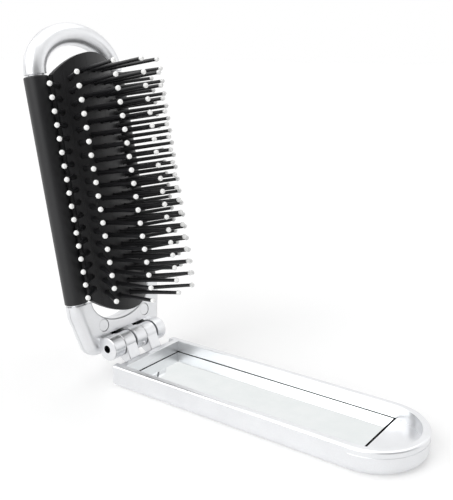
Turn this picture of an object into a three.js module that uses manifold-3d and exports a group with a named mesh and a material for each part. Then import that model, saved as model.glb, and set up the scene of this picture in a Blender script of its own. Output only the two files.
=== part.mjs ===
// Folding pocket hairbrush with a mirror in its lid, standing open.
// Millimetres, +Z up. The lid lies flat along +X and the brush stands on its hinge,
// leaning back, with its pins towards +X. The origin is on the ground, at the middle
// of the flat underside of the lid. The hinge pin lies along Y.
import * as THREE from 'three';
import { mergeVertices } from 'three/addons/utils/BufferGeometryUtils.js';
import Module from 'manifold-3d';

const wasm = await Module();
wasm.setup();

// Fits between pieces
const seat_gap = 0.3;
const parting_gap = 0.15;
const bore_clearance = 0.1;
const slot_clearance = 0.4;
const slot_depth = 6.6;
const slot_rise = 3.7;
const overrun = 1;

// Lid, the tray that holds the mirror, measured from the hinge axis
const lid_width = 33.3;
const lid_height = 8.3;
const lid_near_end = 4.4;
const lid_floor = 2.3;
const rim_width = 2.6;
const lid_bottom_round = 2.6;
const lid_rim_round = 0.8;
const lid_corner_round = 1.2;
const near_wall_width = 2;
const deck_length = 2.6;
const deck_drop = 1.4;
const end_arc_steps = 24;
const round_steps = 4;

// Mirror, whose far end reaches a little past the start of the round end of the lid
const mirror_length = 86.3;
const mirror_past_arc = 0.7;
const mirror_thickness = 1.4;
const adhesive_thickness = 0.3;
const adhesive_margin = 1.5;

// Hinge
const hinge_height = 12;
const opening_angle = 100.6;
const barrel_radius = 4.2;
const knuckle_radius = 3.9;
const knuckle_width = 5.3;
const middle_barrel_width = 5.2;
const outer_barrel_width = 5.3;
const knuckle_gap = 0.3;
const pin_radius = 1;
const pin_recess = 3.2;
const blind_depth = 1;
const barrel_dome = 1.3;
const web_height = 5;
const round_sides = 24;
const pin_sides = 16;

// Frame of the brush, measured along the brush from the hinge axis
const brush_width = 43.3;
const tube_radius = 3.85;
const rail_setback = 6.8;
const rail_radius = 2.9;
const loop_rise = 13.4;
const block_bottom = 2.5;
const block_end_width = 35;
const block_edge_round = 1.3;
const block_corner_round = 2.5;
const block_arc_drop = 8.9;
const arc_handle_share = 0.66;
const loop_steps = 24;
const tube_sides = 16;
const peg_radius = 2.2;
const peg_spacing = 21.1;
const peg_height = 7.7;
const peg_depth = 5.4;
const peg_inset = 0.15;

// Sleeves and pad
const sleeve_start = 17.6;
const sleeve_length = 77.8;
const sleeve_radius = 4.1;
const sleeve_round = 0.5;
const sleeve_end_gap = 0.6;
const pad_thickness = 1.5;
const pad_anchor_rise = 2.8;
const pad_anchor_inset = 3.95;
const pad_sagitta = 5.5;
const pad_end_bow = 6.4;
const pad_edge_gap = 0.75;
const strip_gap = 0.2;

// Pins, one column on each strip, from one edge of the pad to its middle. The three columns
// in the middle are equally long, and each further one is a pin shorter.
const pin_lengths = [15, 19.3, 22.3, 23.5];
const pin_directions = [51, 35, 15, 0];
const column_pitch = 4.36;
const pad_end_margin = 4.5;
const shaft_radius = 0.62;
const neck_radius = 0.5;
const tip_radius = 0.9;
const tip_belt_share = 0.35;
const pin_root = 0.8;
const shaft_sides = 4;

// Colours
const silver = { color: 0xd4d5d7, roughness: 0.38, metalness: 0.35 };
const black = { color: 0x1b1b1d, roughness: 0.62, metalness: 0 };
const glass = { color: 0xdfe4e6, roughness: 0.03, metalness: 1 };
const steel = { color: 0x8f9196, roughness: 0.35, metalness: 1 };
const foam = { color: 0xe9e7df, roughness: 0.95, metalness: 0 };

// Sizes that follow from the ones above
const lid_half = lid_width / 2;
const well_half = lid_half - rim_width;
const wall_start = lid_near_end + deck_length;
const well_start = wall_start + near_wall_width;
const lid_arc_centre = well_start + seat_gap + mirror_length - mirror_past_arc;
const deck_level = lid_height - deck_drop;
const mirror_level = lid_floor + adhesive_thickness;
const shelf_level = mirror_level + mirror_thickness;
const pocket_end = well_start + mirror_length + 2 * seat_gap;
const underside_start = lid_near_end + lid_bottom_round;
const underside_end = lid_arc_centre + lid_half - lid_bottom_round;
const hinge_x = -(underside_start + underside_end) / 2;
const knuckle_start = middle_barrel_width / 2 + knuckle_gap;
const knuckle_end = knuckle_start + knuckle_width;
const outer_start = knuckle_end + knuckle_gap;
const hinge_half = outer_start + outer_barrel_width;
const rail_y = brush_width / 2 - tube_radius;
const sleeve_end = sleeve_start + sleeve_length;
const loop_start = sleeve_end + sleeve_end_gap;
const block_top = sleeve_start - sleeve_end_gap;
const pad_middle = (sleeve_start + sleeve_end) / 2;
const lean = THREE.MathUtils.degToRad(opening_angle) - Math.PI / 2;

// The pad is part of a cylinder. Its edges are held by the sleeves.
const columns = pin_lengths.length - 1;
const anchor_y = rail_y - pad_anchor_inset;
const strip_pitch = 2 * (anchor_y - pad_edge_gap) / (2 * columns + 1);
const pad_radius = (anchor_y ** 2 + pad_sagitta ** 2) / (2 * pad_sagitta);
const pad_axis_back = pad_radius - pad_sagitta - pad_anchor_rise;
const swing_reach = pad_radius + pad_axis_back;
const pin_run = sleeve_length + 2 * (pad_end_bow - pad_end_margin);
const longest_count = Math.floor(pin_run / column_pitch) + 1;

function solid(geometry) {
  const bare = geometry.index ? geometry.toNonIndexed() : geometry.clone();
  bare.deleteAttribute('normal');
  bare.deleteAttribute('uv');
  const merged = mergeVertices(bare);
  return new wasm.Manifold(new wasm.Mesh({
    numProp: 3,
    vertProperties: new Float32Array(merged.attributes.position.array),
    triVerts: new Uint32Array(merged.index.array),
  }));
}

function geometryOf(manifold) {
  const mesh = manifold.getMesh();
  const geometry = new THREE.BufferGeometry();
  geometry.setAttribute('position', new THREE.BufferAttribute(new Float32Array(mesh.vertProperties), 3));
  geometry.setIndex(new THREE.BufferAttribute(new Uint32Array(mesh.triVerts), 1));
  const flat = geometry.toNonIndexed();
  flat.computeVertexNormals();
  return flat;
}

function joined(...pieces) {
  return pieces.reduce((whole, piece) => whole.add(piece));
}

function box(low, high) {
  const size = high.map((value, axis) => value - low[axis]);
  const middle = high.map((value, axis) => (value + low[axis]) / 2);
  return solid(new THREE.BoxGeometry(...size).translate(...middle));
}

function cylinderAlongY(radius, from, to, sides) {
  const geometry = new THREE.CylinderGeometry(radius, radius, to - from, sides);
  return solid(geometry.translate(0, (from + to) / 2, 0));
}

function cylinderAlongZ(radius, from, to, sides) {
  const geometry = new THREE.CylinderGeometry(radius, radius, to - from, sides);
  return solid(geometry.rotateX(Math.PI / 2).translate(0, 0, (from + to) / 2));
}

function cylinderAlongX(radius, from, to, sides) {
  const geometry = new THREE.CylinderGeometry(radius, radius, to - from, sides);
  return solid(geometry.rotateZ(Math.PI / 2).translate((from + to) / 2, 0, 0));
}

// A flat outline in X and Z, pushed out along Y
function alongY(outline, from, to) {
  const settings = { depth: to - from, bevelEnabled: false };
  const geometry = new THREE.ExtrudeGeometry(new THREE.Shape(outline), settings);
  return solid(geometry.rotateX(Math.PI / 2).translate(0, to, 0));
}

// A closed skin over rings that have the same number of points, with flat ends
function loft(rings) {
  const count = rings[0].length;
  const positions = rings.flat().flatMap((point) => [point.x, point.y, point.z]);
  const triangles = [];
  for (let ring = 0; ring + 1 < rings.length; ring += 1) {
    for (let side = 0; side < count; side += 1) {
      const a = ring * count + side;
      const b = ring * count + (side + 1) % count;
      triangles.push(a, b, b + count, a, b + count, a + count);
    }
  }
  const last = (rings.length - 1) * count;
  for (let side = 1; side + 1 < count; side += 1) {
    triangles.push(0, side + 1, side);
    triangles.push(last, last + side, last + side + 1);
  }
  const geometry = new THREE.BufferGeometry();
  geometry.setAttribute('position', new THREE.Float32BufferAttribute(positions, 3));
  geometry.setIndex(triangles);
  return solid(geometry);
}

// Square near end with rounded corners, straight sides and a half-round far end
function trayRing(inset, corner, start, half, z) {
  const points = [];
  const radius = Math.max(corner - inset, 0);
  const near = start + inset;
  const side = half - inset;
  for (const sign of [1, -1]) {
    for (let step = 0; step <= round_steps && radius > 0; step += 1) {
      const turn = Math.PI / 2 * (sign > 0 ? step : round_steps - step) / round_steps;
      const x = near + radius - radius * Math.sin(turn);
      const y = sign * (side - radius + radius * Math.cos(turn));
      points.push(new THREE.Vector3(x, y, z));
    }
    if (radius === 0) points.push(new THREE.Vector3(near, sign * side, z));
  }
  for (let step = 0; step <= end_arc_steps; step += 1) {
    const turn = Math.PI * step / end_arc_steps - Math.PI / 2;
    points.push(new THREE.Vector3(lid_arc_centre + side * Math.cos(turn), side * Math.sin(turn), z));
  }
  return points;
}

function lidShell() {
  const rings = [];
  for (let step = 0; step <= round_steps; step += 1) {
    const turn = Math.PI / 2 * step / round_steps;
    const inset = lid_bottom_round * (1 - Math.sin(turn));
    const z = lid_bottom_round * (1 - Math.cos(turn));
    rings.push(trayRing(inset, lid_bottom_round + lid_corner_round, lid_near_end, lid_half, z));
  }
  for (let step = 0; step <= round_steps; step += 1) {
    const turn = Math.PI / 2 * step / round_steps;
    const inset = lid_rim_round * (1 - Math.cos(turn));
    const z = lid_height - lid_rim_round * (1 - Math.sin(turn));
    rings.push(trayRing(inset, lid_bottom_round + lid_corner_round, lid_near_end, lid_half, z));
  }
  return loft(rings);
}

// A well whose floor is level with the mirror, and a pocket in that floor for the mirror
function lidWell() {
  const top = lid_height + overrun;
  const well = loft([
    trayRing(0, 0, well_start, well_half, shelf_level),
    trayRing(0, 0, well_start, well_half, top),
  ]);
  return well.add(box([well_start, -well_half, lid_floor], [pocket_end, well_half, top]));
}

function lidDeckCut() {
  const low = [lid_near_end - overrun, -well_half, deck_level];
  const high = [wall_start, well_half, lid_height + overrun];
  return box(low, high);
}

// A strap that rises from the deck and wraps the hinge pin
function lidKnuckle(from, to) {
  const axis = hinge_height;
  const shoulder = knuckle_radius * Math.SQRT1_2;
  const strap = [
    new THREE.Vector2(lid_near_end, lid_floor),
    new THREE.Vector2(wall_start, lid_floor),
    new THREE.Vector2(wall_start, deck_level),
    new THREE.Vector2(shoulder, axis + shoulder),
    new THREE.Vector2(0, axis),
    new THREE.Vector2(0, axis - knuckle_radius),
    new THREE.Vector2(lid_near_end, deck_level),
  ];
  const ring = cylinderAlongY(knuckle_radius, from, to, round_sides).translate([0, 0, axis]);
  return alongY(strap, from, to).add(ring);
}

function mirrorLid() {
  const bore = cylinderAlongY(pin_radius + bore_clearance, -hinge_half, hinge_half, round_sides);
  let lid = lidShell().subtract(lidWell()).subtract(lidDeckCut());
  lid = joined(lid, lidKnuckle(knuckle_start, knuckle_end), lidKnuckle(-knuckle_end, -knuckle_start));
  return geometryOf(lid.subtract(bore.translate([0, 0, hinge_height])));
}

function mirrorGlass() {
  const start = well_start + seat_gap;
  const half = well_half - seat_gap;
  return geometryOf(box(
    [start, -half, mirror_level],
    [start + mirror_length, half, mirror_level + mirror_thickness],
  ));
}

function mirrorAdhesive() {
  const start = well_start + seat_gap + adhesive_margin;
  const end = well_start + seat_gap + mirror_length - adhesive_margin;
  const half = well_half - seat_gap - adhesive_margin;
  return geometryOf(box([start, -half, lid_floor], [end, half, mirror_level]));
}

function hingePin() {
  const from = -hinge_half + pin_recess;
  const to = hinge_half - blind_depth - barrel_dome - seat_gap;
  return geometryOf(cylinderAlongY(pin_radius, from, to, pin_sides));
}

// From here on X is forward from the hinge axis and Z runs up along the brush
class LoopCurve extends THREE.Curve {
  getPoint(share, target = new THREE.Vector3()) {
    const turn = Math.PI * share;
    return target.set(-rail_setback, -rail_y * Math.cos(turn), loop_start + loop_rise * Math.sin(turn));
  }
}

function circle(radius, sides) {
  const points = [];
  for (let side = 0; side < sides; side += 1) {
    const turn = 2 * Math.PI * (side + 1 / 2) / sides;
    points.push(new THREE.Vector2(radius * Math.cos(turn), radius * Math.sin(turn)));
  }
  return new THREE.Shape(points);
}

function frameLoop() {
  const settings = { steps: loop_steps, extrudePath: new LoopCurve() };
  return solid(new THREE.ExtrudeGeometry(circle(tube_radius, tube_sides), settings));
}

function rail(sign) {
  const bar = cylinderAlongZ(rail_radius, block_top - overrun, loop_start + overrun, tube_sides);
  return bar.translate([-rail_setback, sign * rail_y, 0]);
}

// Front outline of the block: shoulders under the sleeves, a hollow for the end of the pad
function blockShape() {
  const half = brush_width / 2;
  const end_half = block_end_width / 2;
  const inner = rail_y - tube_radius;
  const low = block_top - block_arc_drop;
  const handle = inner * arc_handle_share;
  const shape = new THREE.Shape();
  shape.moveTo(-end_half + block_corner_round, -block_bottom);
  shape.lineTo(end_half - block_corner_round, -block_bottom);
  shape.quadraticCurveTo(end_half, -block_bottom, end_half, block_corner_round - block_bottom);
  shape.lineTo(half, block_top - tube_radius);
  shape.lineTo(half, block_top);
  shape.lineTo(inner, block_top);
  shape.bezierCurveTo(handle, low, inner - handle, low, 0, low);
  shape.bezierCurveTo(handle - inner, low, -handle, low, -inner, block_top);
  shape.lineTo(-half, block_top);
  shape.lineTo(-half, block_top - tube_radius);
  shape.lineTo(-end_half, block_corner_round - block_bottom);
  shape.quadraticCurveTo(-end_half, -block_bottom, -end_half + block_corner_round, -block_bottom);
  return shape;
}

function block() {
  const geometry = new THREE.ExtrudeGeometry(blockShape(), {
    depth: 2 * (tube_radius - block_edge_round),
    curveSegments: round_steps,
    bevelThickness: block_edge_round,
    bevelSize: block_edge_round,
    bevelOffset: -block_edge_round,
    bevelSegments: 2,
  });
  geometry.translate(0, 0, block_edge_round - tube_radius);
  geometry.applyMatrix4(new THREE.Matrix4().set(
    0, 0, 1, -rail_setback,
    1, 0, 0, 0,
    0, 1, 0, 0,
    0, 0, 0, 1,
  ));
  return solid(geometry);
}

// A hinge barrel with the web that joins it to the block
function barrel(from, to) {
  const back = tube_radius - rail_setback - block_edge_round;
  const web = [
    new THREE.Vector2(back, -block_bottom + block_edge_round),
    new THREE.Vector2(0, -barrel_radius * Math.SQRT1_2),
    new THREE.Vector2(0, barrel_radius * Math.SQRT1_2),
    new THREE.Vector2(back, web_height),
  ];
  return alongY(web, from, to).add(cylinderAlongY(barrel_radius, from, to, round_sides));
}

function domedEnd() {
  const profile = [new THREE.Vector2(0, -overrun), new THREE.Vector2(barrel_radius, -overrun)];
  for (let step = 0; step < round_steps; step += 1) {
    const turn = Math.PI / 2 * step / round_steps;
    profile.push(new THREE.Vector2(barrel_radius * Math.cos(turn), barrel_dome * Math.sin(turn)));
  }
  profile.push(new THREE.Vector2(0, barrel_dome));
  const geometry = new THREE.LatheGeometry(profile, round_sides);
  return solid(geometry.translate(0, hinge_half - barrel_dome, 0));
}

function barrels() {
  const middle = middle_barrel_width / 2;
  return joined(
    barrel(-hinge_half, -outer_start),
    barrel(-middle, middle),
    barrel(outer_start, hinge_half - barrel_dome),
    domedEnd(),
  );
}

function pinBore() {
  const from = -hinge_half - overrun;
  const to = hinge_half - blind_depth - barrel_dome;
  return cylinderAlongY(pin_radius + bore_clearance, from, to, round_sides);
}

// Room in the block for the straps of the lid as they turn
function strapSlot(from, to) {
  const reach = knuckle_radius + slot_clearance;
  const low = [-slot_depth, from - slot_clearance, -block_bottom - overrun];
  return box(low, [reach, to + slot_clearance, slot_rise]);
}

function pegHole(sign) {
  const front = tube_radius - rail_setback;
  const back = front - peg_inset - peg_depth - seat_gap;
  const hole = cylinderAlongX(peg_radius + bore_clearance, back, front + overrun, round_sides);
  return hole.translate([0, sign * peg_spacing / 2, peg_height]);
}

function jointPeg(sign) {
  const front = tube_radius - rail_setback - peg_inset;
  const peg = cylinderAlongX(peg_radius, front - peg_depth, front, round_sides);
  return geometryOf(peg.translate([0, sign * peg_spacing / 2, peg_height]));
}

function brushFrame() {
  let frame = joined(frameLoop(), rail(1), rail(-1), block(), barrels());
  frame = frame.subtract(strapSlot(knuckle_start, knuckle_end));
  frame = frame.subtract(strapSlot(-knuckle_end, -knuckle_start));
  frame = frame.subtract(pinBore());
  return frame.subtract(pegHole(1)).subtract(pegHole(-1));
}

function halfOf(frame, front) {
  const far = loop_start + brush_width;
  const near = front ? -rail_setback + parting_gap / 2 : -far;
  const end = front ? far : -rail_setback - parting_gap / 2;
  return geometryOf(frame.intersect(box([near, -far, -far], [end, far, far])));
}

function sleeve(sign) {
  const inner = rail_radius + seat_gap;
  const outer = sleeve_radius;
  const profile = [
    new THREE.Vector2(inner, 0),
    new THREE.Vector2(outer - sleeve_round, 0),
    new THREE.Vector2(outer, sleeve_round),
    new THREE.Vector2(outer, sleeve_length - sleeve_round),
    new THREE.Vector2(outer - sleeve_round, sleeve_length),
    new THREE.Vector2(inner, sleeve_length),
    new THREE.Vector2(inner, 0),
  ];
  const geometry = new THREE.LatheGeometry(profile, round_sides);
  geometry.rotateX(Math.PI / 2).translate(-rail_setback, sign * rail_y, sleeve_start);
  return geometryOf(solid(geometry));
}

// The angle of a strip's outward normal, for a place that is even when the pad lies flat
function stripTurn(column) {
  return 2 * Math.atan(strip_pitch * column / swing_reach);
}

// How far the pad reaches from its middle, along the brush, at a distance from its centre line
function padReach(y) {
  return sleeve_length / 2 + pad_end_bow * (1 - (y / anchor_y) ** 2);
}

// A strip of the pad in its own frame: X is its normal and Y runs across it
function stripBody(turn) {
  const half = (strip_pitch - strip_gap) / 2;
  const middle_y = pad_radius * Math.sin(turn);
  const low = padReach(middle_y - half * Math.cos(turn));
  const high = padReach(middle_y + half * Math.cos(turn));
  const outline = new THREE.Shape([
    new THREE.Vector2(-half, -low),
    new THREE.Vector2(half, -high),
    new THREE.Vector2(half, high),
    new THREE.Vector2(-half, low),
  ]);
  const geometry = new THREE.ExtrudeGeometry(outline, { depth: pad_thickness, bevelEnabled: false });
  geometry.translate(0, 0, -pad_thickness / 2);
  geometry.applyMatrix4(new THREE.Matrix4().set(
    0, 0, 1, 0,
    1, 0, 0, 0,
    0, 1, 0, 0,
    0, 0, 0, 1,
  ));
  return solid(geometry);
}

// A thin shaft with a ball at its tip, standing along Z
function pinSolid(length) {
  const ball = length - tip_radius;
  const belt = tip_radius * tip_belt_share;
  const profile = [
    new THREE.Vector2(0, -pin_root),
    new THREE.Vector2(shaft_radius, -pin_root),
    new THREE.Vector2(neck_radius, ball - tip_radius),
    new THREE.Vector2(tip_radius, ball - belt),
    new THREE.Vector2(tip_radius, ball + belt),
    new THREE.Vector2(0, length),
  ];
  const geometry = new THREE.LatheGeometry(profile, shaft_sides);
  return geometry.rotateX(Math.PI / 2);
}

function pinColumn(column, turn) {
  const index = columns - Math.abs(column);
  const count = longest_count - Math.max(Math.abs(column) - 1, 0);
  const length = pin_lengths[index];
  const splay = Math.sign(column) * THREE.MathUtils.degToRad(pin_directions[index]) - turn;
  const pins = [];
  for (let place = 0; place < count; place += 1) {
    const step = place - (count - 1) / 2;
    const geometry = pinSolid(length);
    geometry.rotateY(Math.PI / 2);
    geometry.rotateZ(splay);
    geometry.translate(pad_thickness / 2, 0, step * column_pitch);
    pins.push(solid(geometry));
  }
  return pins;
}

function pinRow(column) {
  const turn = stripTurn(column);
  const row = joined(stripBody(turn), ...pinColumn(column, turn));
  const geometry = geometryOf(row);
  geometry.rotateZ(turn);
  const x = pad_radius * Math.cos(turn) - pad_axis_back - rail_setback;
  const y = pad_radius * Math.sin(turn);
  return geometry.translate(x, y, pad_middle);
}

function piece(name, geometry, finish) {
  const mesh = new THREE.Mesh(geometry, new THREE.MeshStandardMaterial(finish));
  mesh.name = name;
  return mesh;
}

const group = new THREE.Group();
const lid = new THREE.Group();
lid.position.x = hinge_x;
lid.add(piece('mirror_lid', mirrorLid(), silver));
lid.add(piece('mirror_glass', mirrorGlass(), glass));
lid.add(piece('mirror_adhesive', mirrorAdhesive(), foam));

const brush = new THREE.Group();
brush.position.set(hinge_x, 0, hinge_height);
brush.rotation.y = -lean;
brush.add(piece('hinge_pin', hingePin(), steel));
const frame = brushFrame();
brush.add(piece('frame_front_shell', halfOf(frame, true), silver));
brush.add(piece('frame_back_shell', halfOf(frame, false), silver));
brush.add(piece('left_joint_peg', jointPeg(-1), silver));
brush.add(piece('right_joint_peg', jointPeg(1), silver));
brush.add(piece('left_sleeve', sleeve(-1), black));
brush.add(piece('right_sleeve', sleeve(1), black));
for (let column = -columns; column <= columns; column += 1) {
  brush.add(piece(`pin_row_${column + columns + 1}`, pinRow(column), black));
}

group.add(lid, brush);
export default group;
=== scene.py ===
import math

import bpy
import bmesh
from mathutils import Matrix, Vector


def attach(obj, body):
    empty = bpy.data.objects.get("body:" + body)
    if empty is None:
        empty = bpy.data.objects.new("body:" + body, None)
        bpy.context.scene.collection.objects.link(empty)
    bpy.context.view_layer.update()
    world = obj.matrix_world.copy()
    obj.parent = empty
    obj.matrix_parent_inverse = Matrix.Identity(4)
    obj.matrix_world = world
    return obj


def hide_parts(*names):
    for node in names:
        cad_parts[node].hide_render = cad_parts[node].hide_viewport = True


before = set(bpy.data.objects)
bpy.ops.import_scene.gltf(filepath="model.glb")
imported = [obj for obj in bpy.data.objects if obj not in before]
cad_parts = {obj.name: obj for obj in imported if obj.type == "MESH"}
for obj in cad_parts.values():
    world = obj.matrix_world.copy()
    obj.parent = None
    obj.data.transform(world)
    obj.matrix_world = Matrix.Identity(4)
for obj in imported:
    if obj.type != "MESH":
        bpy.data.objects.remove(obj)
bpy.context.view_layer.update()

MM = 0.001

# All sizes are in millimetres. The hinge axis in the room, and how far the brush leans back
HINGE_X = -57.975
HINGE_Z = 12
LEAN = math.radians(10.6)

# Lid, with places along X measured from the hinge axis
LID_NEAR = 4.4
WALL_START = 7
WELL_START = 9
ARC_CENTRE = 94.9
LID_HALF = 16.65
LID_TOP = 8.3
WELL_HALF = 14.05
LID_FLOOR = 2.3
DECK_TOP = 6.9
MIRROR_END = 95.6
POCKET_END = 96.3
GROOVE = 0.15
MIRROR_LOW = 2.6
MIRROR_TOP = 4
SEAT = 0.3
TAPE_INSET = 1.5
TAPE_ROUND = 0.1
GLASS_ROUND = 0.22
LID_CORNER = 1.2
LID_RIM_ROUND = 0.8
LID_BASE_ROUND = 3.2
WELL_ROUND = 0.3
STEP_LOW = 6.15
STEP_HIGH = 6.35
STEP_DEPTH = 0.1
SHADOW_GROOVE = 0.12

# Hinge
BARREL = 4.2
KNUCKLE = 3.9
KNUCKLE_ROUND = 0.35
PIN = 1
PIN_START = -10.6
PIN_END = 11.2
PIN_ROUND = 0.25
BORE = 1.1
BORE_END = 11.5
PIN_HOLE = 1.4
PIN_HOLE_DEPTH = 2.9
MIDDLE_HALF = 2.6
STRAP_START = 2.9
STRAP_END = 8.2
STRAP_FOOT = 5
EDGE_ROUND = 0.3
OUTER_START = 8.5
HINGE_HALF = 13.8
DOME = 1.3
NUB = 1
NUB_Y = 0.7
NUB_REACH = 3.8
NUB_TURN = math.radians(-32)
WEB_LOW = -1.2
WEB_HIGH = 5
WEB_INSET = 0.15
WEB_SEAT = 1.3
WEB_TOP_DROP = 2.03
WEB_FOOT_DROP = 1.77

# Brush frame, with places from the hinge axis: U forward, Y across and W up along the brush
RAIL_U = -6.8
RAIL_Y = 17.8
TUBE = 3.85
HALF_WIDTH = 21.65
BLOCK_LOW = -2.5
BLOCK_TOP = 17
BLOCK_END_HALF = 17.5
BLOCK_CORNER = 4
BLOCK_ROUND = 3.5
ROUND_OUTSIDE_Y = 13
ROUND_BELOW_W = 0.5
ARC_HALF = 13.95
ARC_DROP = 8.9
ARC_ROUND = 0.9
ARC_REACH = 10
RAIL = 2.9
PARTING_HALF = 0.075
SLOT_BACK = -6.6
SLOT_LOW = -3.5
SLOT_TOP = 4.3
SLOT_ROOM = 0.4
PLUG = 2.2
PLUG_HOLE = 2.3
PLUG_HOLE_U = -8.8
PLUG_SUNK = 0.15
PLUG_Y = 10.55
PLUG_W = 7.7
PLUG_DEPTH = 5.4
PLUG_ROUND = 0.2
LOOP_START = 96
LOOP_RISE = 13.4

# Sleeves, pad and pins
SLEEVE_START = 17.6
SLEEVE_END = 95.4
SLEEVE = 4.1
SLEEVE_BORE = 3.2
SLEEVE_ROUND = 0.5
SKIN_TURN = math.radians(54.7)
SKIN_START = 3.4
SKIN_END = 5.3
SKIN_HALF = 0.55
SKIN_ROUND = 0.25
END_INSET = 0.4
PAD_MIDDLE = (SLEEVE_START + SLEEVE_END) / 2
PAD_HALF = (SLEEVE_END - SLEEVE_START) / 2
PAD_BOW = 6.4
PAD_ROOM_U = 12
PAD_ROOM_W = 60
PAD_THICK = 1.5
PAD_R = 20.188
PAD_AXIS_U = RAIL_U - 11.888
PAD_GROOVE = 0.4
PAD_NOTCH = 0.65
GROOVE_INSET = 2
CUT_HALF = 0.02
LIP_REACH = 1.3
LIP_HOLD = 0.4
LIP_BACK = 0.6
LIP_FRONT = 0.1
ANCHOR_Y = 13.85
SIDE_STRIPS = 3
STRIP_TURNS = [0, 13.31, 26.27, 38.59]
PIN_LENGTHS = [23.5, 22.3, 19.3, 15]
PIN_ANGLES = [0, 15, 35, 51]
PIN_PITCH = 4.36
MOST_PINS = 19
TIP = 0.9
SHAFT_ROOT = 0.8
SHAFT_END = 0.6
SHAFT_SUNK = 0.6
ROOT_HEIGHT = 0.75
ROOT_FLARE = 1.6

# How near a place has to lie, and how far a cut runs past what it cuts, in millimetres
NEAR = 0.01
OVER = 1
FAR = 200


def colour(text):
    """sRGB hex to the linear colour that a socket takes."""
    parts = [int(text[i:i + 2], 16) / 255 for i in (1, 3, 5)]
    return [p / 12.92 if p <= 0.04045 else ((p + 0.055) / 1.055) ** 2.4 for p in parts] + [1]


def node(tree, kind, values, links=()):
    """Adds a node, sets its sockets and links (from socket, to socket name) pairs into it."""
    made = tree.nodes.new(kind)
    for name, value in values.items():
        if isinstance(name, str) and name not in made.inputs:
            setattr(made, name, value)
        else:
            made.inputs[name].default_value = value
    for source, name in links:
        tree.links.new(source, made.inputs[name])
    return made


def material(name, dark, light, rough, metal, grain, bump, coat=0, spread=0.08, shine=0.5):
    """A surface whose colour, roughness and relief follow two noise patterns.

    The finer pattern has the given grain in metres, and the broad one is 33 times as wide.
    """
    made = bpy.data.materials.new(name)
    made.use_nodes = True
    tree = made.node_tree
    shader = tree.nodes["Principled BSDF"]
    place = node(tree, "ShaderNodeTexCoord", {}).outputs["Object"]
    fine = node(tree, "ShaderNodeTexNoise", {"Scale": 1 / grain, "Detail": 4}, [(place, "Vector")])
    broad = node(tree, "ShaderNodeTexNoise", {"Scale": 0.03 / grain, "Detail": 2},
                 [(place, "Vector")])
    both = node(tree, "ShaderNodeMath", {"operation": "MULTIPLY"},
                [(fine.outputs["Fac"], 0), (broad.outputs["Fac"], 1)])
    ramp = node(tree, "ShaderNodeValToRGB", {}, [(both.outputs[0], "Fac")])
    ramp.color_ramp.elements[0].color = colour(dark)
    ramp.color_ramp.elements[0].position = 0.1
    ramp.color_ramp.elements[1].color = colour(light)
    ramp.color_ramp.elements[1].position = 0.45
    level = node(tree, "ShaderNodeMapRange", {"To Min": rough - spread, "To Max": rough + spread},
                 [(broad.outputs["Fac"], "Value")])
    relief = node(tree, "ShaderNodeBump", {"Strength": 0.35, "Distance": bump},
                  [(fine.outputs["Fac"], "Height")])
    shader.inputs["Metallic"].default_value = metal
    shader.inputs["Coat Weight"].default_value = coat
    shader.inputs["Specular IOR Level"].default_value = shine
    tree.links.new(ramp.outputs["Color"], shader.inputs["Base Color"])
    tree.links.new(level.outputs["Result"], shader.inputs["Roughness"])
    tree.links.new(relief.outputs["Normal"], shader.inputs["Normal"])
    return made


# The real patterns of most of these surfaces, such as metal flake, the grain of the mould and
# drawing lines, are taken as 0.03 to 0.1 mm wide. That is too fine to show in the render, so they
# are drawn 0.25 to 0.6 mm wide.

# ABS sprayed with a satin silver lacquer: fine metal flake under a thin clear layer
SILVER = material("silver_lacquered_abs", "#e1e2e4", "#eaebed", 0.3, 0.8, 0.25 * MM, 0.0008 * MM,
                  coat=0.1, spread=0.04)
# Painted shade: a dull near-black material on the walls of the strap slots, the pin hole and the
# mirror pocket, standing in for the shade that falls in these recesses
PAINTED_SHADE = material("painted_shade_black", "#08080a", "#101012", 0.6, 0, 0.3 * MM, 0.004 * MM, shine=0.2)
# Moulded thermoplastic rubber of the pad, sleeves and pins: deep black with a broad satin shine
BLACK = material("soft_black_rubber", "#151517", "#1c1c1e", 0.38, 0, 0.5 * MM, 0.01 * MM)
# Nylon beads on the pin ends: bright white and glossy
WHITE = material("white_nylon_beads", "#f6f6f4", "#ffffff", 0.24, 0, 0.6 * MM, 0.004 * MM, coat=0.3)
# Silvered float glass: a sharp reflection, a touch of grey, and faint smears about 6 mm wide
MIRROR = material("silvered_mirror_glass", "#e9eded", "#f2f4f4", 0.03, 1, 6 * MM, 0.0001 * MM,
                  spread=0.015)
# Drawn steel wire of the hinge pin: a darker grey metal with a fine grain
STEEL = material("drawn_steel_wire", "#6d6f73", "#97999d", 0.34, 1, 0.3 * MM, 0.005 * MM)
# Closed-cell foam tape under the mirror: dull off-white
FOAM = material("foam_tape", "#d8d6cc", "#efede5", 0.9, 0, 0.4 * MM, 0.05 * MM)


def active(obj):
    """Leaves only this object selected, and active."""
    bpy.ops.object.select_all(action="DESELECT")
    obj.select_set(True)
    bpy.context.view_layer.objects.active = obj
    return obj


def newest(name):
    """The object that the last operator added, under its name."""
    obj = bpy.context.object
    obj.name = name
    return obj


def along(part):
    """Whether a direction runs along the axis whose part is given."""
    return abs(part) > 0.9


def across(part):
    """Whether a direction runs across the axis whose part is given."""
    return abs(part) < 0.1


def block(low, high, name="block"):
    """A cuboid between two corners."""
    middle = [(a + b) / 2 for a, b in zip(low, high)]
    bpy.ops.mesh.primitive_cube_add(size=1, location=middle)
    obj = newest(name)
    obj.scale = [b - a for a, b in zip(low, high)]
    return apply(obj)


TURNS = {"X": (0, math.pi / 2, 0), "Y": (math.pi / 2, 0, 0), "Z": (0, 0, 0)}


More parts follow.
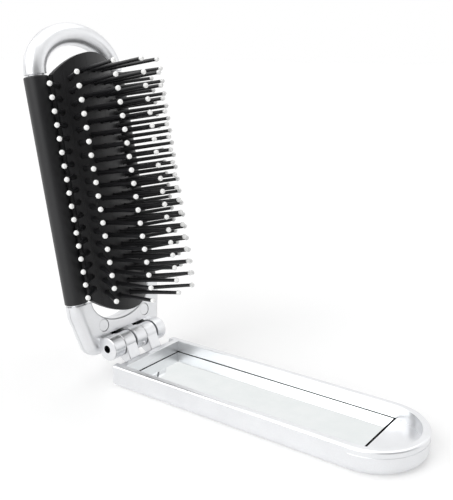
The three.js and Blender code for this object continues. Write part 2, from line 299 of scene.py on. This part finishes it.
def rod(radius, start, end, axis, name="rod", sides=48):
    """A cylinder from start to end, which share the two coordinates across the axis."""
    middle = [(a + b) / 2 for a, b in zip(start, end)]
    length = sum(abs(b - a) for a, b in zip(start, end))
    bpy.ops.mesh.primitive_cylinder_add(vertices=sides, radius=radius, depth=length,
                                        location=middle, rotation=TURNS[axis])
    return apply(newest(name))


def apply(obj):
    """Puts the object's place, turn and scale into its mesh."""
    active(obj)
    bpy.ops.object.transform_apply(location=True, rotation=True, scale=True)
    return obj


def modify(obj, kind, **values):
    """Adds a modifier and applies it."""
    active(obj)
    made = obj.modifiers.new("step", kind)
    for name, value in values.items():
        setattr(made, name, value)
    bpy.ops.object.modifier_apply(modifier=made.name)
    return obj


def combine(obj, tool, operation):
    """Joins or cuts the object with a tool, which is used up."""
    modify(obj, "BOOLEAN", object=tool, operation=operation, solver="EXACT")
    bpy.data.objects.remove(tool)
    return obj


def edit(obj, kind, test):
    """Edit mode, with what the test picks selected by its middle and its normal or direction."""
    active(obj)
    bpy.ops.object.mode_set(mode="EDIT")
    bpy.ops.mesh.select_mode(type=kind)
    bpy.ops.mesh.select_all(action="DESELECT")
    mesh = bmesh.from_edit_mesh(obj.data)
    items = {"VERT": mesh.verts, "EDGE": mesh.edges, "FACE": mesh.faces}[kind]
    for item in items:
        if kind == "VERT":
            middle, way = item.co, item.normal
        elif kind == "EDGE":
            middle = (item.verts[0].co + item.verts[1].co) / 2
            way = (item.verts[1].co - item.verts[0].co).normalized()
        else:
            middle, way = item.calc_center_median(), item.normal
        if test(middle, way):
            item.select_set(True)
    mesh.select_flush_mode()
    bmesh.update_edit_mesh(obj.data)
    return obj


def done(obj):
    """Leaves edit mode."""
    bpy.ops.object.mode_set(mode="OBJECT")
    return obj


def bevel(obj, test, width, segments):
    """Rounds the edges that the test picks."""
    edit(obj, "EDGE", test)
    bpy.ops.mesh.bevel(offset=width, offset_type="OFFSET", segments=segments, clamp_overlap=False)
    return done(obj)


def finish(obj, name, finishes, body, nodes=(), angle=32):
    """Cleans the mesh, smooths it, gives it its materials and lets it ride on its body."""
    edit(obj, "VERT", lambda co, way: True)
    bpy.ops.mesh.remove_doubles(threshold=0.002 * MM)
    bpy.ops.mesh.normals_make_consistent(inside=False)
    done(obj)
    bpy.ops.object.shade_smooth_by_angle(angle=math.radians(angle))
    modify(obj, "WEIGHTED_NORMAL", keep_sharp=True, weight=90)
    obj.name = name
    obj.data.name = name
    obj.data.materials.clear()
    for made in finishes:
        obj.data.materials.append(made)
    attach(obj, body)
    if nodes:
        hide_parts(*nodes)
    return obj


def paint_shade(obj, test):
    """Gives the second material, the painted shade, to the faces that the test picks."""
    edit(obj, "FACE", test)
    obj.active_material_index = 1
    bpy.ops.object.material_slot_assign()
    return done(obj)


def in_lid(obj):
    """Moves a piece made in lid places, in millimetres, to where the lid lies, in metres."""
    obj.location.x = HINGE_X * MM
    obj.scale = (MM, MM, MM)
    return apply(obj)


def in_brush(obj):
    """Moves a piece made in U, Y, W places, in millimetres, to the standing brush, in metres."""
    obj.rotation_euler.y = -LEAN
    obj.location = (HINGE_X * MM, 0, HINGE_Z * MM)
    obj.scale = (MM, MM, MM)
    return apply(obj)


def tray_prism(near, half, low, high, corner, name):
    """Square near end, straight sides and a half-round far end."""
    far = ARC_CENTRE + half
    obj = block((near, -half, low), (far, half, high), name)
    bevel(obj, lambda co, way: along(way.z) and co.x > far - OVER, half, 48)
    edit(obj, "VERT", lambda co, way: co.x > far - OVER)
    bpy.ops.mesh.remove_doubles(threshold=NEAR)
    done(obj)
    if corner:
        bevel(obj, lambda co, way: along(way.z) and co.x < near + NEAR, corner, 10)
    return obj


def strap(sign):
    """A lid strap: a slanted arm that ends in a ring around the hinge pin."""
    y0, y1 = sorted((sign * STRAP_START, sign * STRAP_END))
    arm = block((LID_NEAR, y0, STRAP_FOOT), (WALL_START, y1, HINGE_Z), "arm")
    diagonal = KNUCKLE * math.sqrt(0.5)
    centre = (LID_NEAR + WALL_START) / 2
    edit(arm, "VERT", lambda co, way: co.z > HINGE_Z - OVER and co.x < centre)
    bpy.ops.transform.translate(value=(-diagonal - LID_NEAR, 0, -diagonal))
    done(arm)
    edit(arm, "VERT", lambda co, way: co.z > HINGE_Z - OVER and co.x > centre)
    bpy.ops.transform.translate(value=(diagonal - WALL_START, 0, diagonal))
    done(arm)
    bevel(arm, lambda co, way: across(way.y) and co.z > STRAP_FOOT + 0.2 and abs(way.x) < 0.95,
          EDGE_ROUND, 3)
    ring = rod(KNUCKLE, (0, y0 + NEAR, HINGE_Z), (0, y1 - NEAR, HINGE_Z), "Y", sides=64)
    bevel(ring, lambda co, way: across(way.y), KNUCKLE_ROUND, 3)
    return combine(arm, ring, "UNION")


def in_pocket(co, way):
    """Whether a face lies on the floor or the walls of the mirror's pocket."""
    x, y, z = co.x / MM - HINGE_X, abs(co.y / MM), co.z / MM
    close, room = 0.05, 0.2
    ends = abs(x - WELL_START + GROOVE) < close or abs(x - POCKET_END) < close and way.x < -0.9
    sides = abs(y - WELL_HALF - GROOVE) < close
    level = abs(z - LID_FLOOR) < close or way.z < -0.9 and z > LID_FLOOR
    inside = WELL_START - room < x < POCKET_END + room / 2 and y < WELL_HALF + room
    return inside and z < MIRROR_TOP + room and (ends or sides or level)


def make_lid():
    lid = tray_prism(LID_NEAR, LID_HALF, 0, LID_TOP, LID_CORNER, "lid")
    # A fine step runs round the far end, below the rim
    for height in (STEP_LOW, STEP_HIGH):
        edit(lid, "FACE", lambda co, way: True)
        bpy.ops.mesh.bisect(plane_co=(0, 0, height), plane_no=(0, 0, 1))
        done(lid)
    edit(lid, "FACE", lambda co, way: across(way.z) and STEP_LOW < co.z < STEP_HIGH
         and co.x > ARC_CENTRE)
    bpy.ops.mesh.extrude_region_shrink_fatten(TRANSFORM_OT_shrink_fatten={"value": -STEP_DEPTH})
    done(lid)
    bevel(lid, lambda co, way: co.z > LID_TOP - NEAR and across(way.z), LID_RIM_ROUND, 5)
    # The wide round of the underside is cut by a second, rounded tray
    base = tray_prism(LID_NEAR - NEAR, LID_HALF + NEAR, 0, LID_TOP + 2 * OVER, 0, "base")
    bevel(base, lambda co, way: co.z < NEAR and across(way.z), LID_BASE_ROUND, 9)
    combine(lid, base, "INTERSECT")
    well = tray_prism(WELL_START, WELL_HALF, MIRROR_TOP, LID_TOP + 2 * OVER, 0, "well")
    combine(lid, well, "DIFFERENCE")
    # The pocket of the mirror, with a fine shadow groove along the foot of the walls
    pocket = block((WELL_START - GROOVE, -WELL_HALF - GROOVE, LID_FLOOR),
                   (POCKET_END, WELL_HALF + GROOVE, MIRROR_TOP + SHADOW_GROOVE))
    combine(lid, pocket, "DIFFERENCE")
    deck = block((LID_NEAR - OVER, -WELL_HALF, DECK_TOP), (WALL_START, WELL_HALF, LID_TOP + OVER))
    combine(lid, deck, "DIFFERENCE")
    well_end = ARC_CENTRE + WELL_HALF
    bevel(lid, lambda co, way: co.z > LID_TOP - NEAR and across(way.z)
          and abs(co.y) < WELL_HALF + NEAR and WALL_START - NEAR < co.x < well_end + NEAR,
          WELL_ROUND, 3)
    for sign in (-1, 1):
        combine(lid, strap(sign), "UNION")
    bore = rod(BORE, (0, -HINGE_HALF, HINGE_Z), (0, HINGE_HALF, HINGE_Z), "Y")
    combine(lid, bore, "DIFFERENCE")
    finish(in_lid(lid), "lid_tray", [SILVER, PAINTED_SHADE], "lid", ["mirror_lid"])
    # The walls and floor of the mirror pocket get the painted shade
    paint_shade(lid, in_pocket)


def make_mirror():
    half = WELL_HALF - SEAT
    glass = block((WELL_START + SEAT, -half, MIRROR_LOW), (MIRROR_END, half, MIRROR_TOP), "glass")
    bevel(glass, lambda co, way: True, GLASS_ROUND, 2)
    finish(in_lid(glass), "mirror_strip", [MIRROR], "lid", ["mirror_glass"])
    inset = SEAT + TAPE_INSET
    tape = block((WELL_START + inset, inset - WELL_HALF, LID_FLOOR),
                 (MIRROR_END - TAPE_INSET, WELL_HALF - inset, MIRROR_LOW), "tape")
    bevel(tape, lambda co, way: True, TAPE_ROUND, 2)
    finish(in_lid(tape), "mirror_tape", [FOAM], "lid", ["mirror_adhesive"])


def make_pin():
    wire = rod(PIN, (0, PIN_START, 0), (0, PIN_END, 0), "Y", sides=32)
    bevel(wire, lambda co, way: across(way.y), PIN_ROUND, 3)
    finish(in_brush(wire), "hinge_wire", [STEEL], "hinge_pin", ["hinge_pin"])


def make_loop():
    """A tube swept along the half oval of the hanging loop."""
    bpy.ops.mesh.primitive_circle_add(vertices=32, radius=TUBE, fill_type="NGON",
                                      location=(RAIL_U, -RAIL_Y, LOOP_START))
    loop = apply(newest("loop"))
    steps = 40
    turns = [math.pi * i / steps for i in range(steps + 1)]
    spots = [Vector((RAIL_U, -RAIL_Y * math.cos(t), LOOP_START + LOOP_RISE * math.sin(t)))
             for t in turns]
    slopes = [math.atan2(RAIL_Y * math.sin(t), LOOP_RISE * math.cos(t)) for t in turns]
    edit(loop, "FACE", lambda co, way: True)
    for i in range(steps):
        bpy.ops.mesh.extrude_region_move(TRANSFORM_OT_translate={"value": spots[i + 1] - spots[i]})
        bpy.ops.transform.rotate(value=slopes[i + 1] - slopes[i], orient_axis="X",
                                 center_override=spots[i + 1])
    done(loop)
    edit(loop, "FACE", lambda co, way: True)
    bpy.ops.mesh.normals_make_consistent(inside=False)
    return done(loop)


def on_rim(co):
    """Whether a place lies on the front or back outline of the hinge block."""
    return abs(abs(co.x - RAIL_U) - TUBE) < NEAR and co.z < BLOCK_TOP - NEAR


def make_block():
    """The hinge block, and the half-oval tool that hollows its top."""
    body = block((RAIL_U - TUBE, -HALF_WIDTH, BLOCK_LOW),
                 (RAIL_U + TUBE, HALF_WIDTH, BLOCK_TOP), "body")
    edit(body, "FACE", lambda co, way: True)
    bpy.ops.mesh.bisect(plane_co=(0, 0, BLOCK_TOP - TUBE), plane_no=(0, 0, 1))
    done(body)
    for sign in (-1, 1):
        edit(body, "VERT", lambda co, way: co.z < BLOCK_LOW + OVER and co.y * sign > 0)
        bpy.ops.transform.translate(value=(0, sign * (BLOCK_END_HALF - HALF_WIDTH), 0))
        done(body)
    bevel(body, lambda co, way: along(way.x) and co.z < BLOCK_LOW + NEAR, BLOCK_CORNER, 9)
    bevel(body, lambda co, way: across(way.x) and on_rim(co)
          and (abs(co.y) > ROUND_OUTSIDE_Y or co.z < ROUND_BELOW_W), BLOCK_ROUND, 9)
    hollow = rod(1, (RAIL_U - ARC_REACH, 0, 0), (RAIL_U + ARC_REACH, 0, 0), "X", sides=96)
    hollow.scale = (1, ARC_HALF, ARC_DROP)
    hollow.location.z = BLOCK_TOP
    return body, apply(hollow)


def make_barrel(y0, y1, domed):
    """A hinge barrel with the web that joins it to the block."""
    barrel = rod(BARREL, (0, y0, 0), (0, y1, 0), "Y", "barrel", 64)
    if domed:
        edit(barrel, "FACE", lambda co, way: way.y > 0.9)
        turns = [math.radians(t) for t in (0, 18, 36, 54, 72, 84)]
        for last, turn in zip(turns, turns[1:]):
            rise = DOME * (math.sin(turn) - math.sin(last))
            ratio = math.cos(turn) / math.cos(last)
            bpy.ops.mesh.extrude_region_move(TRANSFORM_OT_translate={"value": (0, rise, 0)})
            bpy.ops.transform.resize(value=(ratio, ratio, ratio),
                                     center_override=(0, y1 + DOME * math.sin(turn), 0))
        done(barrel)
    else:
        bevel(barrel, lambda co, way: across(way.y), EDGE_ROUND, 3)
    # The web slopes down from the block to the barrel
    web = block((RAIL_U + TUBE - WEB_SEAT, y0 + WEB_INSET, WEB_LOW),
                (0, y1 - WEB_INSET, WEB_HIGH), "web")
    for sign, drop in ((1, WEB_TOP_DROP), (-1, WEB_FOOT_DROP)):
        edit(web, "VERT", lambda co, way: abs(co.x) < NEAR and co.z * sign > 0)
        bpy.ops.transform.translate(value=(0, 0, -drop))
        done(web)
    return combine(barrel, web, "UNION")


def brush_place(co):
    """A place in the room, in millimetres, as U, Y, W."""
    x, z = co.x - HINGE_X, co.z - HINGE_Z
    return x * math.cos(LEAN) + z * math.sin(LEAN), co.y, z * math.cos(LEAN) - x * math.sin(LEAN)


def in_slot(co):
    """Whether a face lies in one of the two slots of the lid's straps."""
    u, y, w = brush_place(co)
    close, room = 0.05, 0.5
    deep = SLOT_BACK - 2 * close < u < RAIL_U + TUBE - close
    beside = STRAP_START - room < abs(y) < STRAP_END + room
    return deep and beside and SLOT_LOW + room < w < SLOT_TOP + room


def in_pin_hole(co):
    """Whether a face lies in the blind hole that shows the end of the pin."""
    u, y, w = brush_place(co)
    return NEAR - HINGE_HALF < y < OVER - OUTER_START and math.hypot(u, w) < PIN_HOLE + 0.05


def make_frame():
    """Block, rails, loop and barrels in one, which is then cut into its two halves."""
    body, hollow = make_block()
    combine(body, hollow, "DIFFERENCE")
    bevel(body, lambda co, way: across(way.x) and on_rim(co)
          and abs(math.hypot(co.y / ARC_HALF, (BLOCK_TOP - co.z) / ARC_DROP) - 1) < 0.03,
          ARC_ROUND, 4)
    for sign in (-1, 1):
        spot = (RAIL_U, sign * RAIL_Y)
        rail = rod(RAIL, (*spot, BLOCK_TOP - OVER), (*spot, LOOP_START + OVER), "Z")
        combine(body, rail, "UNION")
    combine(body, make_loop(), "UNION")
    for y0, y1, domed in ((-HINGE_HALF, -OUTER_START, False), (-MIDDLE_HALF, MIDDLE_HALF, False),
                          (OUTER_START, HINGE_HALF - DOME, True)):
        combine(body, make_barrel(y0, y1, domed), "UNION")
    # A small nub under the middle barrel
    bpy.ops.mesh.primitive_uv_sphere_add(
        segments=24, ring_count=16, radius=NUB,
        location=(NUB_REACH * math.cos(NUB_TURN), NUB_Y, NUB_REACH * math.sin(NUB_TURN)))
    combine(body, apply(newest("nub")), "UNION")
    for sign in (-1, 1):
        y0, y1 = sorted((sign * (STRAP_START - SLOT_ROOM), sign * (STRAP_END + SLOT_ROOM)))
        slot = block((SLOT_BACK, y0, SLOT_LOW), (KNUCKLE + SLOT_ROOM, y1, SLOT_TOP))
        combine(body, slot, "DIFFERENCE")
        spot = (sign * PLUG_Y, PLUG_W)
        combine(body, rod(PLUG_HOLE, (PLUG_HOLE_U, *spot), (0, *spot), "X"), "DIFFERENCE")
    outside = -HINGE_HALF - OVER
    for radius, end in ((BORE, BORE_END), (PIN_HOLE, PIN_HOLE_DEPTH - HINGE_HALF)):
        combine(body, rod(radius, (0, outside, 0), (0, end, 0), "Y"), "DIFFERENCE")
    for name, u0, u1 in (("frame_front", RAIL_U + PARTING_HALF, FAR),
                         ("frame_back", -FAR, RAIL_U - PARTING_HALF)):
        active(body)
        bpy.ops.object.duplicate()
        half = bpy.context.object
        combine(half, block((u0, -FAR, -FAR), (u1, FAR, FAR)), "INTERSECT")
        finish(in_brush(half), name + "_half", [SILVER, PAINTED_SHADE], "brush_frame",
               [name + "_shell"])
        # The strap slots and the pin hole get the painted shade
        paint_shade(half, lambda co, way: in_slot(co / MM) or in_pin_hole(co / MM))
    bpy.data.objects.remove(body)


def make_pegs():
    for sign, side in ((-1, "left"), (1, "right")):
        front = RAIL_U + TUBE - PLUG_SUNK
        spot = (sign * PLUG_Y, PLUG_W)
        peg = rod(PLUG, (front - PLUG_DEPTH, *spot), (front, *spot), "X", "peg")
        bevel(peg, lambda co, way: across(way.x), PLUG_ROUND, 3)
        finish(in_brush(peg), side + "_plug", [SILVER], "brush_frame",
               [side + "_joint_peg"])


def turned(obj, turn, spot):
    """Turns a piece about the Z axis and then moves it by the U, Y spot."""
    obj.rotation_euler.z = turn
    obj.location = (*spot, 0)
    return apply(obj)


def make_sleeves():
    for sign, side in ((-1, "left"), (1, "right")):
        spot = (RAIL_U, sign * RAIL_Y)
        sleeve = rod(SLEEVE, (*spot, SLEEVE_START), (*spot, SLEEVE_END), "Z", "sleeve", 72)
        bevel(sleeve, lambda co, way: across(way.z), SLEEVE_ROUND, 4)
        # The skin that joins the sleeve to the edge of the pad
        skin = block((SKIN_START, -SKIN_HALF, SLEEVE_START + END_INSET),
                     (SKIN_END, SKIN_HALF, SLEEVE_END - END_INSET), "skin")
        bevel(skin, lambda co, way: along(way.z) and co.x > SKIN_END - NEAR, SKIN_ROUND, 3)
        turned(skin, -sign * SKIN_TURN, spot)
        combine(sleeve, skin, "UNION")
        bore = rod(SLEEVE_BORE, (*spot, SLEEVE_START - OVER), (*spot, SLEEVE_END + OVER), "Z")
        combine(sleeve, bore, "DIFFERENCE")
        finish(in_brush(sleeve), side + "_rubber_sleeve", [BLACK], side + "_sleeve",
               [side + "_sleeve"])


def pad_axis_rod(radius, reach, name):
    low, high = PAD_MIDDLE - reach, PAD_MIDDLE + reach
    return rod(radius, (PAD_AXIS_U, 0, low), (PAD_AXIS_U, 0, high), "Z", name, 240)


def pad_bow(y):
    """How far the pad's ends bow out, at a distance Y from its middle line."""
    return PAD_BOW * (1 - (y / ANCHOR_Y) ** 2)


def make_pad():
    """The whole pad: a curved sheet with bowed ends and fold grooves along its back."""
    reach = PAD_HALF + PAD_BOW
    back = PAD_R - PAD_THICK / 2
    pad = pad_axis_rod(PAD_R + PAD_THICK / 2, reach + OVER, "pad")
    combine(pad, pad_axis_rod(back, reach + 3 * OVER, "inner"), "DIFFERENCE")
    end_round = (ANCHOR_Y ** 2 + PAD_BOW ** 2) / (2 * PAD_BOW)
    middle = reach - end_round
    u0, u1 = RAIL_U, RAIL_U + PAD_ROOM_U
    outline = block((u0, -ANCHOR_Y, PAD_MIDDLE - PAD_HALF), (u1, ANCHOR_Y, PAD_MIDDLE + PAD_HALF))
    for sign in (-1, 1):
        w = PAD_MIDDLE + sign * middle
        end = rod(end_round, (u0, 0, w), (u1, 0, w), "X", "end", 160)
        trim = block((u0 - OVER, -ANCHOR_Y, PAD_MIDDLE - PAD_ROOM_W),
                     (u1 + OVER, ANCHOR_Y, PAD_MIDDLE + PAD_ROOM_W))
        combine(end, trim, "INTERSECT")
        combine(outline, end, "UNION")
    combine(pad, outline, "INTERSECT")
    for turn in [math.radians(sign * turn) for turn in STRIP_TURNS for sign in (-1, 1)][1:]:
        spot = (PAD_AXIS_U + back * math.cos(turn), back * math.sin(turn))
        half = PAD_HALF + pad_bow(back * math.sin(turn)) - GROOVE_INSET
        low, high = PAD_MIDDLE - half, PAD_MIDDLE + half
        combine(pad, rod(PAD_GROOVE, (*spot, low), (*spot, high), "Z", "groove", 16), "DIFFERENCE")
        bpy.ops.mesh.primitive_uv_sphere_add(segments=16, ring_count=8, radius=PAD_NOTCH,
                                             location=(*spot, high))
        combine(pad, apply(newest("notch")), "DIFFERENCE")
    return pad


def seams():
    """Where neighbouring strips meet, as turns about the pad's axis: left, and then right."""
    middles = [(STRIP_TURNS[i] + STRIP_TURNS[i + 1]) / 2 for i in range(SIDE_STRIPS)]
    return [math.radians(sign * turn) for sign in (-1, 1) for turn in middles]


def cut_strip(pad, column):
    """One strip of the pad, between its two seams."""
    active(pad)
    bpy.ops.object.duplicate()
    strip = bpy.context.object
    limits = sorted(seams())
    place = column + SIDE_STRIPS
    for index, keep_high in ((place - 1, True), (place, False)):
        if 0 <= index < len(limits):
            turn = limits[index]
            way = Vector((-math.sin(turn), math.cos(turn), 0))
            shift = way * (CUT_HALF if keep_high else -CUT_HALF)
            edit(strip, "FACE", lambda co, way: True)
            bpy.ops.mesh.bisect(plane_co=Vector((PAD_AXIS_U, 0, 0)) + shift, plane_no=way,
                                use_fill=True, clear_inner=keep_high, clear_outer=not keep_high)
            done(strip)
    return strip


def add_lip(strip, column):
    """A thin lip that reaches into the next strip inwards, and stays there as the pad folds."""
    side = 1 if column > 0 else -1
    turn = seams()[SIDE_STRIPS + abs(column) - 1]
    half = PAD_HALF + pad_bow(PAD_R * math.sin(turn)) - END_INSET
    y0, y1 = sorted((-side * LIP_REACH, side * LIP_HOLD))
    lip = block((PAD_R - LIP_BACK, y0, PAD_MIDDLE - half),
                (PAD_R + LIP_FRONT, y1, PAD_MIDDLE + half), "lip")
    turned(lip, side * turn, (PAD_AXIS_U, 0))
    return combine(strip, lip, "UNION")


def make_pin_parts(length):
    """A tapered shaft with a flared root, and the bead at its end, both standing along Z."""
    bpy.ops.mesh.primitive_cone_add(vertices=10, radius1=SHAFT_ROOT, radius2=SHAFT_END,
                                    depth=length - TIP + SHAFT_SUNK,
                                    location=(0, 0, (length - TIP - SHAFT_SUNK) / 2))
    shaft = apply(newest("shaft"))
    edit(shaft, "FACE", lambda co, way: True)
    bpy.ops.mesh.bisect(plane_co=(0, 0, ROOT_HEIGHT), plane_no=(0, 0, 1))
    done(shaft)
    edit(shaft, "VERT", lambda co, way: co.z < 0)
    bpy.ops.transform.resize(value=(ROOT_FLARE, ROOT_FLARE, 1), center_override=(0, 0, 0))
    done(shaft)
    bpy.ops.mesh.primitive_ico_sphere_add(subdivisions=2, radius=TIP, location=(0, 0, length - TIP))
    return shaft, apply(newest("bead"))


def place_along(model, spots):
    """A copy of the model at each of the places, joined into one object. The model is deleted."""
    copies = []
    for matrix in spots:
        copy = model.copy()
        copy.data = model.data.copy()
        bpy.context.collection.objects.link(copy)
        copy.matrix_world = matrix
        copies.append(copy)
    bpy.data.objects.remove(model)
    active(copies[0])
    for copy in copies:
        copy.select_set(True)
    bpy.ops.object.join()
    return apply(bpy.context.object)


def pin_spots(column):
    """Where the pins of a column stand, each as a matrix that turns and moves a pin along Z."""
    k = abs(column)
    side = 1 if column > 0 else -1
    turn = math.radians(side * STRIP_TURNS[k])
    angle = math.radians(side * PIN_ANGLES[k])
    surface = PAD_R + PAD_THICK / 2
    root = Vector((PAD_AXIS_U + surface * math.cos(turn), surface * math.sin(turn), PAD_MIDDLE))
    count = MOST_PINS - max(k - 1, 0)
    way = Vector((math.cos(angle), math.sin(angle), 0))
    tilt = Vector((0, 0, 1)).rotation_difference(way).to_matrix().to_4x4()
    spots = []
    for place in range(count):
        run = (place - (count - 1) / 2) * PIN_PITCH
        spots.append(Matrix.Translation(root + Vector((0, 0, run))) @ tilt)
    return spots


def make_rows():
    pad = make_pad()
    for column in range(-SIDE_STRIPS, SIDE_STRIPS + 1):
        number = column + SIDE_STRIPS + 1
        body = f"pin_row_{number}"
        shaft, bead = make_pin_parts(PIN_LENGTHS[abs(column)])
        spots = pin_spots(column)
        strip = cut_strip(pad, column)
        if column:
            add_lip(strip, column)
        finish(in_brush(strip), f"pad_strip_{number}", [BLACK], body, [body])
        shafts = place_along(shaft, spots)
        finish(in_brush(shafts), f"pins_{number}", [BLACK], body, [body], 60)
        beads = place_along(bead, spots)
        finish(in_brush(beads), f"pin_beads_{number}", [WHITE], body, [body], 60)
    bpy.data.objects.remove(pad)


def shown_share(tree, camera, gloss):
    """How much of a surface camera rays, and glossy or transmission rays, see as plain white."""
    path = node(tree, "ShaderNodeLightPath", {})
    bent = node(tree, "ShaderNodeMath", {"operation": "MAXIMUM"},
                [(path.outputs["Is Glossy Ray"], 0), (path.outputs["Is Transmission Ray"], 1)])
    bent = node(tree, "ShaderNodeMath", {"operation": "MULTIPLY", 1: gloss}, [(bent.outputs[0], 0)])
    made = node(tree, "ShaderNodeMath", {"operation": "MULTIPLY_ADD", 1: camera},
                [(path.outputs["Is Camera Ray"], 0), (bent.outputs[0], 2)])
    return made.outputs[0]


def make_table():
    bpy.ops.mesh.primitive_plane_add(size=8, location=(0, 0, 0))
    table = newest("table")
    paint = bpy.data.materials.new("white_table")
    paint.use_nodes = True
    tree = paint.node_tree
    shader = tree.nodes["Principled BSDF"]
    shader.inputs["Base Color"].default_value = colour("#f8f8f8")
    shader.inputs["Roughness"].default_value = 0.8
    glow = node(tree, "ShaderNodeEmission", {"Color": (1, 1, 1, 1), "Strength": 1.3})
    mix = node(tree, "ShaderNodeMixShader", {},
               [(shown_share(tree, 0.25, 0.3), 0), (shader.outputs[0], 1), (glow.outputs[0], 2)])
    tree.links.new(mix.outputs[0], tree.nodes["Material Output"].inputs["Surface"])
    table.data.materials.append(paint)


def wall_patch(tree, way, towards, edge, heart, level):
    """A round patch of the room's wall with its own level of light, which is 1 outside its edge."""
    near = node(tree, "ShaderNodeVectorMath", {"operation": "DOT_PRODUCT", 1: towards}, [(way, 0)])
    patch = node(tree, "ShaderNodeMapRange",
                 {"From Min": edge, "From Max": heart, "To Min": 1, "To Max": level},
                 [(near.outputs["Value"], "Value")])
    return patch.outputs["Result"]


def make_room():
    """A white room that fills the shadows. Glossy surfaces see a gap, a dark card and a panel."""
    world = bpy.data.worlds.new("room")
    bpy.context.scene.world = world
    world.use_nodes = True
    tree = world.node_tree
    fill = tree.nodes["Background"]
    fill.inputs["Color"].default_value = (1, 1, 1, 1)
    fill.inputs["Strength"].default_value = 0.33
    way = node(tree, "ShaderNodeTexCoord", {}).outputs["Generated"]
    gap = wall_patch(tree, way, (0.98, 0.2, 0), 0.88, 0.98, 0.35)
    card = wall_patch(tree, way, (0.87, -0.49, 0), 0.72, 0.9, 0.1)
    panel = wall_patch(tree, way, (0.61, 0.78, 0.14), 0.82, 0.97, 1.3)
    dark = node(tree, "ShaderNodeMath", {"operation": "MULTIPLY"}, [(gap, 0), (card, 1)])
    gloss = node(tree, "ShaderNodeMath", {"operation": "MULTIPLY"},
                 [(dark.outputs[0], 0), (panel, 1)])
    path = node(tree, "ShaderNodeLightPath", {})
    level = node(tree, "ShaderNodeMath", {"operation": "MAXIMUM"},
                 [(gloss.outputs[0], 0), (path.outputs["Is Camera Ray"], 1)])
    shown = node(tree, "ShaderNodeBackground", {"Color": (1, 1, 1, 1)},
                 [(level.outputs[0], "Strength")])
    mix = node(tree, "ShaderNodeMixShader", {},
               [(shown_share(tree, 1, 1), 0), (fill.outputs[0], 1), (shown.outputs[0], 2)])
    tree.links.new(mix.outputs[0], tree.nodes["World Output"].inputs["Surface"])


def make_lamps():
    """Wide soft lamps, far enough away to light the table evenly."""
    lamps = (("front", (-0.1, -0.8, 0.6), 1.7, 50),
             ("left", (-0.7, -0.35, 0.6), 0.5, 40),
             ("top", (0, 0.3, 1), 0.92, 60))
    for name, way, power, width in lamps:
        bpy.ops.object.light_add(type="SUN", location=way)
        lamp = newest(name + "_lamp")
        lamp.data.energy = power
        lamp.data.angle = math.radians(width)
        lamp.rotation_euler = Vector(way).to_track_quat("Z", "Y").to_euler()


def make_camera():
    """The photograph's viewing angle: right, up and back as rows, for an image 453 by 500."""
    rows = ((0.80953571, 0.58704441, 0.00555008),
            (-0.16121527, 0.21320598, 0.96361447),
            (0.56450117, -0.78097508, 0.26723838))
    data = bpy.data.cameras.new("camera")
    camera = bpy.data.objects.new("camera", data)
    bpy.context.collection.objects.link(camera)
    spot = Vector((HINGE_X + 175.45, -185.63, 115.48)) * MM
    camera.matrix_world = Matrix.Translation(spot) @ Matrix(rows).transposed().to_4x4()
    data.sensor_fit = "VERTICAL"
    data.sensor_height = 24
    # A lens of 745.51 pixels over an image 500 pixels high
    data.lens = 745.51 / 500 * data.sensor_height
    data.clip_start = 0.01
    bpy.context.scene.camera = camera


make_lid()
make_mirror()
make_pin()
make_frame()
make_pegs()
make_sleeves()
make_rows()
make_table()
make_room()
make_lamps()
make_camera()

bpy.context.scene.view_settings.view_transform = "Standard"
